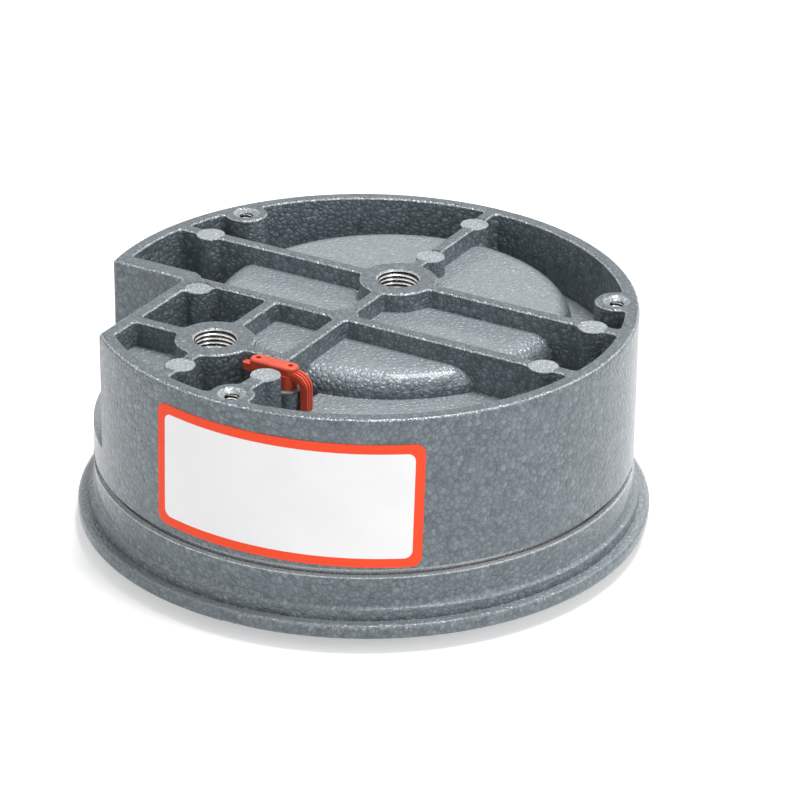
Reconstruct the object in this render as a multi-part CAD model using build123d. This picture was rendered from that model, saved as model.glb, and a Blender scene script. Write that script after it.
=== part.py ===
"""Differential pressure gauge, lying face down on its bezel with the cast back uppermost.

All lengths are millimetres. The origin is the centre of the bezel's front face, +Z runs
towards the open back of the case, the dial faces -Z and +Y is the top of the dial.
Levels are heights above the bezel's front face.
"""
import os
from math import atan2, cos, degrees, hypot, radians, sin, sqrt

from build123d import *

# Case casting, outside
case_radius = 57.15
rim_level = 50.0
skirt_level = 16.95
case_wall = 3.0
inner_radius = case_radius - case_wall
wall_draft = 1.0
rim_rounding = 0.8
corner_rounding = 1.2

# Notch that bares the two side ports
notch_width = 19.05
notch_x = notch_width - case_radius
notch_y = -10.6
notch_level = 23.8
notch_x_wall = 3.0
notch_y_wall = 4.2
ledge_thickness = 3.0

# Floors of the rear pockets
deep_floor = 36.6
step_floor = 41.0
corner_floor = 44.5
web_thickness = 3.0
step_start_x = 4.5

# Domed lid of the high pressure chamber
dome_inset = 0.5
dome_level = 45.8
dome_shoulder = 5.0
dome_void_inset = 9.0
dome_wall = 3.2

# Ribs, pads and bosses on the back
rib_width = 2.6
upper_rib_y = 12.6
notch_rib_step = 1.1
lower_rib_y = notch_y + notch_rib_step
centre_rib_x = 0.3
port_rib_set_back = 21.65
port_rib_y = port_rib_set_back - inner_radius
side_rib_x = -16.3
pad_radius = 3.1
corner_pad_radius = 2.8
junction_radius = 3.0
pocket_rounding = 1.0
wall_corner_rounding = 3.0
edge_flare = 0.4
pad_recess = 0.3
smallest_pocket = 30.0
port_boss_radius = 8.25

# Pressure ports
high_port = (centre_rib_x + 0.3, upper_rib_y + 0.2)
low_port = (side_rib_x - 0.3, port_rib_y + 0.3)
port_radius = 4.4
port_depth = 10.0
port_mouth = 0.45
passage_radius = 2.4
side_port_level = 35.9
side_port_depth = 9.0
side_boss_radius = 6.2
side_boss_length = 10.5
high_side_inset = 9.76
high_side_x = high_side_inset - sqrt(case_radius ** 2 - notch_y ** 2)
low_side_y = (notch_y - sqrt(case_radius ** 2 - notch_x ** 2)) / 2
plug_clearance = 0.05
plug_length = 7.0
plug_stand_out = 0.4
socket_flats = 4.8
socket_depth = 4.0

# Three mounting holes on a bolt circle
mount_inset = 4.76
mount_circle_radius = case_radius - mount_inset
mount_angles = (30, 150, 270)
mount_hole_radius = 1.5
mount_hole_depth = 9.5
mount_boss_radius = 4.6
mount_dish_radius = 3.0
mount_dish_depth = 0.8
pillar_neck_width = 3.4

# Spigot, bezel and window
spigot_set_back = 1.55
spigot_radius = case_radius - spigot_set_back
spigot_front = 7.8
bezel_clearance = 0.1
bezel_top = 15.24
bezel_band = 1.6
bezel_foot = 1.2
bezel_foot_level = 8.4
bezel_foot_cove = 1.3
flange_overhang = 2.4
flange_top = 6.1
flange_bottom = 3.0
flange_rounding = 0.9
nose_set_back = 2.7
nose_width = 2.2
bezel_bore_radius = spigot_radius + bezel_clearance
bezel_band_radius = bezel_bore_radius + bezel_band
bezel_foot_radius = bezel_band_radius + bezel_foot
flange_radius = bezel_foot_radius + flange_overhang
nose_radius = bezel_bore_radius - nose_set_back
window_radius = nose_radius - nose_width
cover_thickness = 3.0
cover_clearance = 0.4
gasket_width = 2.4

# Case inside
spigot_wall = 3.6
ledge_width = 2.0
front_bore_radius = spigot_radius - spigot_wall
ledge_bore_radius = front_bore_radius - ledge_width
dial_seat_level = 10.5
dial_thickness = 1.0
dial_clearance = 0.3
dial_radius = front_bore_radius - dial_clearance
dial_lug_radius = 3.6
dial_lug_circle = ledge_bore_radius - 1.6
dial_lug_angles = (-25, 205)
dial_screw_radius = 1.0
dial_screw_head_radius = 2.0
dial_screw_head = 1.1
dial_screw_length = 5.0

# Diaphragm and its chamber, the largest round seat between the bore and the notch's corner
seat_wall_gap = 3.1
seat_notch_gap = 0.56
seat_width = 4.4
seat_corner_x = notch_x + notch_x_wall
seat_reach = front_bore_radius - seat_wall_gap - notch_y - notch_y_wall
seat_radius = (seat_corner_x ** 2 + seat_reach ** 2 - seat_notch_gap ** 2) / (
    2 * (seat_reach + seat_notch_gap))
dome_y = front_bore_radius - seat_wall_gap - seat_radius
chamber_radius = seat_radius - seat_width
dome_radius = chamber_radius - dome_inset
dome_void_radius = dome_radius - dome_void_inset
seat_level = 25.0
membrane_thickness = 0.8
membrane_bead = 1.3
ring_thickness = 1.7
ring_screw_inset = 2.0
ring_screw_circle = seat_radius - ring_screw_inset
ring_screw_radius = 0.9
ring_screw_head_radius = 1.6
ring_screw_head = 1.3
ring_screw_length = 5.0
ring_screw_count = 6
screw_clearance = 0.1
rear_plate_inset = 10.0
front_plate_inset = 13.0
rear_plate_radius = chamber_radius - rear_plate_inset
front_plate_radius = chamber_radius - front_plate_inset
plate_thickness = 1.0
stud_radius = 1.6
nut_radius = 3.0
nut_height = 1.8

# Range spring and magnet
spring_level = 19.0
spring_thickness = 0.5
spring_width = 10.0
spring_root_inset = 3.0
spring_root_y = front_bore_radius - spring_root_inset
shelf_depth = 11.0
shelf_y = front_bore_radius - shelf_depth
shelf_width = 16.0
shelf_thickness = 2.4
clamp_thickness = 2.0
clamp_width = 13.0
clamp_screw_spacing = 7.0
clamp_screw_radius = 0.9
clamp_screw_head_radius = 1.7
clamp_screw_head = 1.2
magnet_height = 4.2
magnet_width = 7.0
magnet_length = 6.0
magnet_gap = 1.0
magnet_slot = 2.0

# Zero screw's place in the window, and the pivots in line with it
zero_screw_inset = 8.3
zero_screw_y = zero_screw_inset - window_radius
zero_arm = 8.5
zero_pivot_y = zero_screw_y + zero_arm
pivot_y = zero_pivot_y + 16.0
spring_overhang = 5.4
spring_tip_y = pivot_y + spring_overhang

# Helix, pointer and wishbone
helix_radius = 2.5
helix_blade = 0.8
helix_low = 13.3
helix_high = 20.2
helix_twist = 150
helix_core_radius = 0.9
shaft_radius = 0.6
shaft_low = 6.95
shaft_high = 21.5
running_clearance = 0.05
jewel_radius = 1.5
arm_thickness = 1.2
front_arm_level = 11.8
rear_arm_level = 20.6
arm_radius = 3.0
spine_y = zero_pivot_y + 8.0
spine_depth = 3.6
spine_width = 5.0
zero_pivot_radius = 1.2
zero_hub_radius = 3.2
zero_hub_top = 16.0
zero_post_radius = 2.6
pivot_head_radius = 2.1
pivot_head = 0.6
end_play = 0.2
fork_end = 2.5
fork_end_y = zero_screw_y - fork_end
fork_width = 4.4
pointer_rest_angle = 50
pointer_sweep = 80
pointer_length = 46.0
pointer_tail = 13.0
pointer_level = 7.5
pointer_thickness = 0.5
pointer_root_width = 3.0
pointer_tip_width = 0.8
pointer_hub_radius = 2.6
pointer_hub_height = 1.4
pointer_stop_margin = 13.0
pointer_stop_distance = 22.0
pointer_stop_radius = 1.3
pointer_stop_height = 2.3
pivot_hole_radius = 3.6

# Zero adjusting screw in the cover
zero_head_radius = 3.8
zero_head_height = 1.5
zero_head_recess = 0.2
zero_shank_radius = 1.9
zero_shank_top = 11.4
zero_pin_radius = 0.5
zero_eccentricity = 0.5
zero_fork_clearance = 0.15
zero_slot_width = 0.9
zero_slot_depth = 0.7
zero_seal_radius = 3.3
zero_seal_thickness = 1.2
zero_dial_hole_radius = 3.0

# Relief plug
plug_bar_length = 10.9
plug_bar_width = 3.4
plug_bar_thickness = 2.3
plug_bar_x = -0.4
plug_rib_gap = 0.1
plug_bar_y = port_rib_y - (rib_width + plug_bar_width) / 2 - plug_rib_gap
plug_bar_hole = 0.55
plug_bar_rounding = 0.5
plug_stem_radius = 2.1
plug_stem_offset = 3.0
plug_stem_point = (plug_bar_x + plug_stem_offset, plug_bar_y)
plug_boss_radius = 3.4
plug_boss_level = 45.2
plug_tail_length = 1.8
plug_tail_width = 1.8
plug_tail_thickness = 1.5
strap_width = 2.6
strap_thickness = 1.5
strap_groove = 0.35
strap_drop = 0.65
strap_reach = 7.1
strap_bend_radius = 2.4

BOTTOM = (Align.CENTER, Align.CENTER, Align.MIN)


def disc(radius, low, high, x=0.0, y=0.0):
    """Upright cylinder between two levels."""
    return Pos(x, y, low) * Cylinder(radius, high - low, align=BOTTOM)


def ring(outer, inner, low, high, x=0.0, y=0.0):
    """Upright tube between two levels."""
    return disc(outer, low, high, x, y) - disc(inner, low - 1, high + 1, x, y)


def block(x_low, x_high, y_low, y_high, low, high):
    """Box between stated faces."""
    size = (x_high - x_low, y_high - y_low, high - low)
    centre = ((x_low + x_high) / 2, (y_low + y_high) / 2, low)
    return Pos(*centre) * Box(*size, align=BOTTOM)


def on_circle(radius, angle, centre=(0.0, 0.0)):
    """Point at an angle in degrees on a circle."""
    return (centre[0] + radius * cos(radians(angle)), centre[1] + radius * sin(radians(angle)))


def strip(start, end, width):
    """Flat strip of a given width between two points, for the plan of the ribs."""
    run = hypot(end[0] - start[0], end[1] - start[1])
    turn = degrees(atan2(end[1] - start[1], end[0] - start[0]))
    middle = ((start[0] + end[0]) / 2, (start[1] + end[1]) / 2)
    return Pos(*middle) * Rot(0, 0, turn) * Rectangle(run, width)


def spot(radius, point):
    """Flat round spot, for the plan of the pads and bosses."""
    return Pos(*point) * Circle(radius)


def chord(across, inset):
    """Half chord of the inner wall at a distance from the centre, less an inset."""
    return sqrt((inner_radius - inset) ** 2 - across ** 2)


# Round pads where ejector pins met the casting, with the two junctions of the ribs
west_pad_inset = 6.45
east_pad_inset = 5.78
north_pad_inset = 7.25
south_pad_inset = 5.22
dome_pad_step = 14.1
pillar_step = 8.8
pad_points = (
    (-chord(upper_rib_y, west_pad_inset), upper_rib_y),
    (chord(upper_rib_y, east_pad_inset), upper_rib_y),
    (chord(lower_rib_y, west_pad_inset), lower_rib_y + 0.3),
    (centre_rib_x, chord(centre_rib_x, north_pad_inset)),
    (centre_rib_x + 0.3, upper_rib_y + dome_pad_step),
    (side_rib_x + 0.2, -chord(side_rib_x, south_pad_inset)),
)
corner_pad_point = (notch_x + 5.1, lower_rib_y - 3.3)
pillar_point = (1.0, port_rib_y - pillar_step)
junction_point = (centre_rib_x - 0.3, lower_rib_y + 0.8)


def rib_plan():
    """Everything that stands up to the rim inside the outer wall, as one flat plan."""
    reach = inner_radius + case_wall / 2
    plan = strip((-reach, upper_rib_y), (reach, upper_rib_y), rib_width)
    plan += strip((notch_x + rib_width / 2, lower_rib_y), (reach, lower_rib_y), rib_width)
    plan += strip((centre_rib_x, port_rib_y), (centre_rib_x, reach), rib_width)
    plan += strip((notch_x, port_rib_y), (centre_rib_x + rib_width / 2, port_rib_y), rib_width)
    plan += strip((side_rib_x, -reach), (side_rib_x, lower_rib_y), rib_width)
    plan += spot(port_boss_radius, high_port) + spot(port_boss_radius, low_port)
    plan += spot(junction_radius, junction_point)
    plan += spot(corner_pad_radius, corner_pad_point)
    plan += spot(pad_radius, pillar_point)
    plan += strip(pillar_point, on_circle(mount_circle_radius, 270), pillar_neck_width)
    for point in pad_points:
        plan += spot(pad_radius, point)
    for angle in mount_angles:
        plan += spot(mount_boss_radius, on_circle(mount_circle_radius, angle))
    corner = (notch_x + notch_x_wall, notch_y + notch_y_wall)
    walls = Pos(corner[0] - 40, corner[1] - 40) * Rectangle(80, 80)
    inner_corner = walls.vertices().sort_by(Axis.X)[-2:].sort_by(Axis.Y)[-1]
    return plan + fillet(inner_corner, wall_corner_rounding)


def pocket_depths():
    """One point in each rear pocket with its floor level, and whether it cuts the dome."""
    left = (notch_x + notch_x_wall + side_rib_x) / 2
    middle = (upper_rib_y + lower_rib_y) / 2
    between = (lower_rib_y + port_rib_y) / 2
    return (
        ((-inner_radius / 2, 30.0), deep_floor, False),
        ((inner_radius / 2, 28.0), deep_floor, False),
        ((left, middle), deep_floor, False),
        ((inner_radius / 2, middle), deep_floor, False),
        ((inner_radius / 2, between), deep_floor, False),
        ((left, between + 4), deep_floor, True),
        (((side_rib_x + centre_rib_x) / 2, between), step_floor, False),
        ((left - 2, port_rib_y - 6), corner_floor, False),
    )


def rounded(face):
    """The face with its corners rounded by an inward and an outward offset."""
    return offset(offset(face, -pocket_rounding), pocket_rounding, kind=Kind.ARC)


def pocket_faces():
    """The gaps of the rib plan inside the outer wall, one rounded face a pocket."""
    gaps = Circle(inner_radius) - rib_plan()
    return [rounded(face) for face in gaps.faces() if face.area > smallest_pocket]


def pocket_cutters():
    """Drafted cutters for the rear pockets, split by whether they also cut the dome."""
    before = []
    after = []
    for face in pocket_faces():
        flat = face.faces()[0]
        for seed, floor, through in pocket_depths():
            if flat.is_inside((seed[0], seed[1], 0)):
                cutter = Pos(0, 0, rim_level) * extrude(
                    flat, rim_level - floor, dir=(0, 0, -1), taper=wall_draft
                )
                (after if through else before).append(cutter)
    return before, after


def pocket_flares():
    """Shallow cutters that break the sharp upper edges of the pockets."""
    flares = []
    for face in pocket_faces():
        wide = offset(face, edge_flare, kind=Kind.ARC).faces()[0]
        flares.append(Pos(0, 0, rim_level) * extrude(
            wide, 2 * edge_flare, dir=(0, 0, -1), taper=45
        ))
    return flares


def dome_lid():
    """Low round lid with a rolled shoulder over the high pressure chamber."""
    foot = dome_radius + dome_shoulder
    low = deep_floor - web_thickness
    lid = disc(foot, low, dome_level, 0, dome_y)
    edge = lid.edges().filter_by(GeomType.CIRCLE).sort_by(Axis.Z)[-1]
    return fillet(edge, dome_shoulder)


def stepped_floor():
    """Raised floor of the wide lower right pocket."""
    shape = disc(inner_radius + case_wall / 2, deep_floor - web_thickness, step_floor)
    keep = block(step_start_x, case_radius, -case_radius, lower_rib_y, 0, rim_level)
    floor = shape & keep
    edge = floor.edges().filter_by(Axis.Y).group_by(Axis.Z)[-1].sort_by(Axis.X)[0]
    return fillet(edge, pocket_rounding)


def notch_tool(x_wall, y_wall, low, high):
    """Block that fills the notch's corner, grown by the walls that stand round it."""
    far = 2 * case_radius
    return block(-far, notch_x + x_wall, -far, notch_y + y_wall, low, high)


def build_case():
    """Cast case: skirt, notch, drafted pockets, dome, ports and the machined front bore."""
    body = disc(case_radius, skirt_level, rim_level)
    body -= notch_tool(0, 0, notch_level, rim_level + 1)
    upright = [
        e for e in body.edges().filter_by(Axis.Z)
        if e.center().Z > notch_level and e.length < rim_level - notch_level + 0.01
    ]
    body = fillet(upright, corner_rounding)
    top = body.edges().filter_by_position(Axis.Z, rim_level - 0.01, rim_level + 0.01)
    body = fillet(top, rim_rounding)

    before, after = pocket_cutters()
    for cutter in before:
        body -= cutter
    body += dome_lid()
    body += stepped_floor()
    for cutter in after:
        body -= cutter
    for flare in pocket_flares():
        body -= flare
    for point in (*pad_points, pillar_point):
        body -= disc(pad_radius + 0.05, rim_level - pad_recess, rim_level + 1, *point)
    body -= disc(corner_pad_radius + 0.05, rim_level - pad_recess, rim_level + 1, *corner_pad_point)
    body += disc(plug_boss_radius, deep_floor - web_thickness, plug_boss_level, *plug_stem_point)
    body += disc(spigot_radius, spigot_front, skirt_level + 1)

    ceiling = deep_floor - web_thickness
    hollow = disc(front_bore_radius, notch_level - ledge_thickness, ceiling)
    hollow -= notch_tool(notch_x_wall, notch_y_wall, 0, rim_level)
    body -= hollow
    body -= disc(ledge_bore_radius, dial_seat_level, notch_level - ledge_thickness + 0.01)
    body -= disc(front_bore_radius, spigot_front - 1, dial_seat_level)

    body += disc(seat_radius, seat_level, ceiling + 0.5, 0, dome_y)
    shelf_top = spring_level + spring_thickness + shelf_thickness
    shelf = block(
        -shelf_width / 2, shelf_width / 2, shelf_y, front_bore_radius + 0.5,
        spring_level + spring_thickness, shelf_top,
    )
    body += shelf
    body += disc(zero_post_radius, zero_hub_top + end_play, ceiling + 0.5, 0, zero_pivot_y)
    for angle in dial_lug_angles:
        x, y = on_circle(dial_lug_circle, angle)
        body += disc(dial_lug_radius, dial_seat_level, notch_level - ledge_thickness + 0.5, x, y)
    side_high = Pos(high_side_x, notch_y + 0.5, side_port_level) * Rot(-90, 0, 0)
    body += side_high * Cylinder(side_boss_radius, side_boss_length, align=BOTTOM)
    side_low = Pos(notch_x + 0.5, low_side_y, side_port_level) * Rot(0, 90, 0)
    body += side_low * Cylinder(side_boss_radius, side_boss_length, align=BOTTOM)

    body -= disc(chamber_radius, seat_level - 1, ceiling, 0, dome_y)
    body -= disc(plug_stem_radius + plug_clearance, ceiling - 0.5, rim_level, *plug_stem_point)
    void = disc(dome_void_radius, ceiling - 1, dome_level - dome_wall, 0, dome_y)
    void = fillet(void.edges().filter_by(GeomType.CIRCLE).sort_by(Axis.Z)[-1], 3.0)
    body -= void
    body -= port_tool(high_port, rim_level - (dome_level - dome_wall) + 1)
    body -= port_tool(low_port, port_depth)
    body -= disc(passage_radius, ceiling - 1, rim_level - port_depth + 1, *low_port)
    body -= side_high * Pos(0, 0, -1) * Cylinder(port_radius, side_port_depth + 1, align=BOTTOM)
    body -= side_low * Pos(0, 0, -1) * Cylinder(port_radius, side_port_depth + 1, align=BOTTOM)
    for angle in mount_angles:
        body -= mount_hole(on_circle(mount_circle_radius, angle))
    for point in ring_screw_points():
        body -= disc(ring_screw_radius, seat_level - 1, ring_screw_base() + ring_screw_length, *point)
    for x in (-clamp_screw_spacing / 2, clamp_screw_spacing / 2):
        body -= disc(clamp_screw_radius, spring_level, shelf_top + 1, x, clamp_screw_y())
    for angle in dial_lug_angles:
        x, y = on_circle(dial_lug_circle, angle)
        body -= disc(dial_screw_radius, dial_seat_level - 1, dial_screw_tip(), x, y)
    body -= disc(zero_pivot_radius, zero_hub_top, zero_pivot_tip(), 0, zero_pivot_y)
    return body


def port_tool(point, depth):
    """Round port with a chamfered mouth at the rim."""
    mouth = Pos(point[0], point[1], rim_level - port_mouth) * Cone(
        port_radius, port_radius + port_mouth, port_mouth, align=BOTTOM
    )
    return disc(port_radius, rim_level - depth, rim_level + 1, *point) + mouth


def mount_hole(point):
    """Blind tapping hole at the bottom of a shallow dish."""
    mouth = Pos(point[0], point[1], rim_level - mount_dish_depth) * Cone(
        mount_hole_radius, mount_dish_radius, mount_dish_depth, align=BOTTOM
    )
    return disc(mount_hole_radius, rim_level - mount_hole_depth, rim_level + 1, *point) + mouth


def ring_screw_points():
    """Centres of the screws that hold the diaphragm ring."""
    step = 360 / ring_screw_count
    return [on_circle(ring_screw_circle, i * step, (0, dome_y)) for i in range(ring_screw_count)]


def ring_screw_base():
    """Front face of the diaphragm ring, where the screw heads seat."""
    return seat_level - membrane_thickness - ring_thickness


def clamp_screw_y():
    """Line of the clamp's screws, half way along the shelf."""
    return (shelf_y + spring_root_y) / 2


def dial_screw_tip():
    """Level that the dial screws reach."""
    return dial_seat_level - dial_thickness + dial_screw_length


def zero_pivot_tip():
    """Level that the wishbone's pivot screw reaches in its post."""
    return zero_hub_top + end_play + 4.0


def build_bezel():
    """Threaded bezel: nose, rounded flange, coved foot and a thin band over the spigot."""
    bore = bezel_bore_radius
    cove = bezel_foot_level + bezel_foot_cove
    with BuildLine() as half:
        Polyline(
            (bezel_band_radius, cove), (bezel_band_radius, bezel_top), (bore + 0.4, bezel_top),
            (bore, bezel_top - 0.4), (bore, flange_bottom), (window_radius, flange_bottom),
            (window_radius, 0), (nose_radius, 0), (bezel_foot_radius, flange_bottom),
            (flange_radius, flange_bottom), (flange_radius, flange_top),
            (bezel_foot_radius, flange_top), (bezel_foot_radius, bezel_foot_level),
        )
        RadiusArc(
            (bezel_foot_radius, bezel_foot_level), (bezel_band_radius, cove),
            hypot(bezel_foot, bezel_foot_cove) * 0.75,
        )
    profile = Plane.XZ * make_face(half.line)
    body = revolve(profile, Axis.Z)
    lip = [
        e for e in body.edges().filter_by(GeomType.CIRCLE)
        if abs(e.radius - flange_radius) < 0.01
    ]
    body = fillet(lip, flange_rounding)
    step = [
        e for e in body.edges().filter_by(GeomType.CIRCLE)
        if abs(e.radius - nose_radius) < 0.01
    ]
    return fillet(step, 0.8)


def build_cover():
    """Clear flat window with a counterbored hole for the zero screw."""
    radius = bezel_bore_radius - cover_clearance
    body = disc(radius, flange_bottom, flange_bottom + cover_thickness)
    body = chamfer(body.edges().filter_by(GeomType.CIRCLE), 0.4)
    head = flange_bottom + zero_head_recess + zero_head_height
    body -= disc(zero_head_radius + 0.2, 0, head, 0, zero_screw_y)
    body -= disc(zero_shank_radius + 0.1, 0, spigot_front, 0, zero_screw_y)
    return body


def build_gasket():
    """Flat ring between the cover and the front of the spigot."""
    outer = bezel_bore_radius - cover_clearance
    return ring(outer, outer - gasket_width, flange_bottom + cover_thickness, spigot_front)


def build_dial():
    """Round dial plate with holes for the pointer shaft, the zero screw and its screws."""
    body = disc(dial_radius, dial_seat_level - dial_thickness, dial_seat_level)
    body -= disc(pivot_hole_radius, 0, rim_level, 0, pivot_y)
    body -= disc(zero_dial_hole_radius, 0, rim_level, 0, zero_screw_y)
    for angle in dial_lug_angles:
        x, y = on_circle(dial_lug_circle, angle)
        body -= disc(dial_screw_radius + screw_clearance, 0, rim_level, x, y)
    return body


def screw(shank, head, head_height, under_head, tip, point, slot):
    """Pan head screw with its head below the seat and a driver slot across the head."""
    body = disc(shank, under_head - 0.01, tip, *point)
    cap = disc(head, under_head - head_height, under_head, *point)
    rim = cap.edges().filter_by(GeomType.CIRCLE).sort_by(Axis.Z)[0]
    cap = fillet(rim, head_height * 0.45)
    low = under_head - head_height
    cap -= block(
        point[0] - 2 * head, point[0] + 2 * head, point[1] - slot / 2, point[1] + slot / 2,
        low - 1, low + head_height / 2,
    )
    return cap + body


def build_dial_screws():
    """Two screws that hold the dial on its lugs."""
    face = dial_seat_level - dial_thickness
    points = [on_circle(dial_lug_circle, angle) for angle in dial_lug_angles]
    return Compound([
        screw(dial_screw_radius, dial_screw_head_radius, dial_screw_head, face,
              dial_screw_tip(), point, 0.6).solid()
        for point in points
    ])


def build_pointer_stops():
    """Two soft stop posts on the dial, just past the ends of the scale."""
    angles = (
        pointer_rest_angle - pointer_stop_margin,
        pointer_rest_angle + pointer_sweep + pointer_stop_margin,
    )
    face = dial_seat_level - dial_thickness
    posts = []
    for angle in angles:
        x, y = on_circle(pointer_stop_distance, angle, (0, pivot_y))
        post = disc(pointer_stop_radius, face - pointer_stop_height, face, x, y)
        posts.append(fillet(post.edges().sort_by(Axis.Z)[0], 0.4).solid())
    return Compound(posts)


def build_diaphragm():
    """Rubber diaphragm with one rolled convolution between its plates and its seat."""
    face = seat_level - membrane_thickness
    body = disc(seat_radius, face, seat_level, 0, dome_y)
    middle = (rear_plate_radius + chamber_radius) / 2
    outer = Pos(0, dome_y, seat_level) * Torus(middle, membrane_bead + membrane_thickness)
    inner = Pos(0, dome_y, seat_level) * Torus(middle, membrane_bead)
    half = disc(seat_radius, seat_level - membrane_thickness, seat_level + 5, 0, dome_y)
    trough = disc(seat_radius, face - 5, seat_level, 0, dome_y)
    body = body - (inner & trough) + ((outer - inner) & trough)
    body -= half & (Pos(0, dome_y, seat_level) * Torus(middle, membrane_bead))
    body -= disc(stud_radius, 0, rim_level, 0, dome_y)
    for point in ring_screw_points():
        body -= disc(ring_screw_radius + screw_clearance, 0, rim_level, *point)
    return body


def build_diaphragm_ring():
    """Metal ring that clamps the diaphragm's edge on its seat."""
    body = ring(seat_radius, chamber_radius, ring_screw_base(), seat_level - membrane_thickness,
                0, dome_y)
    for point in ring_screw_points():
        body -= disc(ring_screw_radius + screw_clearance, 0, rim_level, *point)
    return body


def build_ring_screws():
    """Screws through the diaphragm ring."""
    base = ring_screw_base()
    return Compound([
        screw(ring_screw_radius, ring_screw_head_radius, ring_screw_head, base,
              base + ring_screw_length, point, 0.5).solid()
        for point in ring_screw_points()
    ])


def build_rear_plate():
    """Dished plate on the high pressure side of the diaphragm."""
    body = disc(rear_plate_radius, seat_level, seat_level + plate_thickness, 0, dome_y)
    return fillet(body.edges().sort_by(Axis.Z)[-1], plate_thickness * 0.6) - disc(
        stud_radius, 0, rim_level, 0, dome_y)


def build_front_plate():
    """Plate on the low pressure side, under the stud's shoulder."""
    face = seat_level - membrane_thickness
    body = disc(front_plate_radius, face - plate_thickness, face, 0, dome_y)
    return fillet(body.edges().sort_by(Axis.Z)[0], plate_thickness * 0.6) - disc(
        stud_radius, 0, rim_level, 0, dome_y)


def build_link_stud():
    """Stud that carries the plates, with its shoulder and the nut under the range spring."""
    plate = seat_level - membrane_thickness - plate_thickness
    leaf = spring_level + spring_thickness
    body = disc(stud_radius, spring_level - nut_height - 0.6, seat_level + plate_thickness + 0.8,
                0, dome_y)
    body += disc(stud_radius + 1.2, leaf, plate, 0, dome_y)
    body += disc(stud_radius + 1.4, seat_level + plate_thickness,
                 seat_level + plate_thickness + 1.0, 0, dome_y)
    nut = extrude(Pos(0, dome_y) * RegularPolygon(nut_radius, 6), nut_height)
    return body + Pos(0, 0, spring_level - nut_height) * nut


def build_range_spring():
    """Flat leaf from its clamp, past the stud, to the magnet at its free end."""
    plan = strip((0, spring_root_y), (0, spring_tip_y), spring_width)
    free = shelf_y - dome_y
    waist = strip((0, dome_y + 0.39 * free), (0, dome_y + 0.74 * free), spring_width * 0.4)
    plan -= fillet(waist.vertices(), spring_width * 0.19)
    plan -= spot(stud_radius, (0, dome_y))
    for x in (-clamp_screw_spacing / 2, clamp_screw_spacing / 2):
        plan -= spot(clamp_screw_radius + screw_clearance, (x, clamp_screw_y()))
    body = Pos(0, 0, spring_level) * extrude(plan, spring_thickness)
    corners = [e for e in body.edges().filter_by(Axis.Z) if e.center().Y < spring_tip_y + 1]
    return fillet(corners, 1.5)


def build_spring_clamp():
    """Small block that clamps the spring's root against the case's shelf."""
    body = block(-clamp_width / 2, clamp_width / 2, shelf_y, spring_root_y,
                 spring_level - clamp_thickness, spring_level)
    body = fillet(body.edges().filter_by(Axis.Z), 1.0)
    for x in (-clamp_screw_spacing / 2, clamp_screw_spacing / 2):
        body -= disc(clamp_screw_radius + screw_clearance, 0, rim_level, x, clamp_screw_y())
    return body


def build_clamp_screws():
    """Two screws that tighten the spring clamp."""
    under = spring_level - clamp_thickness
    tip = spring_level + spring_thickness + shelf_thickness
    return Compound([
        screw(clamp_screw_radius, clamp_screw_head_radius, clamp_screw_head, under, tip,
              (x, clamp_screw_y()), 0.5).solid()
        for x in (-clamp_screw_spacing / 2, clamp_screw_spacing / 2)
    ])


def build_magnet():
    """Slotted magnet block under the spring's tip, with its poles facing the helix."""
    face = pivot_y + helix_radius + magnet_gap
    low = spring_level - magnet_height
    body = block(-magnet_width / 2, magnet_width / 2, face, face + magnet_length,
                 low, spring_level)
    body -= block(-magnet_slot / 2, magnet_slot / 2, face - 1, face + magnet_length / 2,
                  low - 1, spring_level - 1.0)
    return fillet(body.edges().filter_by(Axis.Z).group_by(Axis.Y)[-1], 1.0)


def build_helix():
    """Twisted blade on a round core, turned by the magnet as it slides past."""
    steps = 6
    blade_height = helix_high - helix_low
    sections = []
    for i in range(steps + 1):
        turn = helix_twist * i / steps
        level = helix_low + blade_height * i / steps
        sections.append(
            Pos(0, pivot_y, level) * Rot(0, 0, turn) * Rectangle(2 * helix_radius, helix_blade)
        )
    body = loft(sections) + disc(helix_core_radius, helix_low, helix_high, 0, pivot_y)
    return body - disc(shaft_radius, 0, rim_level, 0, pivot_y)


def build_pointer_shaft():
    """Thin shaft through the helix, both jewels and the pointer's hub."""
    return disc(shaft_radius, shaft_low, shaft_high, 0, pivot_y)


def build_pointer():
    """Tapered pointer with a broad counterweight tail on a round hub."""
    half_root = pointer_root_width / 2
    half_tip = pointer_tip_width / 2
    blade = make_face(Polyline(
        (0, -half_root), (pointer_length - 5, -half_tip), (pointer_length, 0),
        (pointer_length - 5, half_tip), (0, half_root), close=True,
    ))
    tail = make_face(Polyline(
        (0, -half_root), (0, half_root), (-pointer_tail + 3, half_root),
        (-pointer_tail, half_root * 2), (-pointer_tail, -half_root * 2),
        (-pointer_tail + 3, -half_root), close=True,
    ))
    plate = extrude(blade + tail, pointer_thickness)
    placed = Pos(0, pivot_y, pointer_level) * Rot(0, 0, pointer_rest_angle) * plate
    hub = disc(pointer_hub_radius, pointer_level - 0.3,
               pointer_level - 0.3 + pointer_hub_height, 0, pivot_y)
    hub = fillet(hub.edges().filter_by(GeomType.CIRCLE).sort_by(Axis.Z)[0], 0.25)
    return placed + hub - disc(shaft_radius, 0, rim_level, 0, pivot_y)


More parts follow.
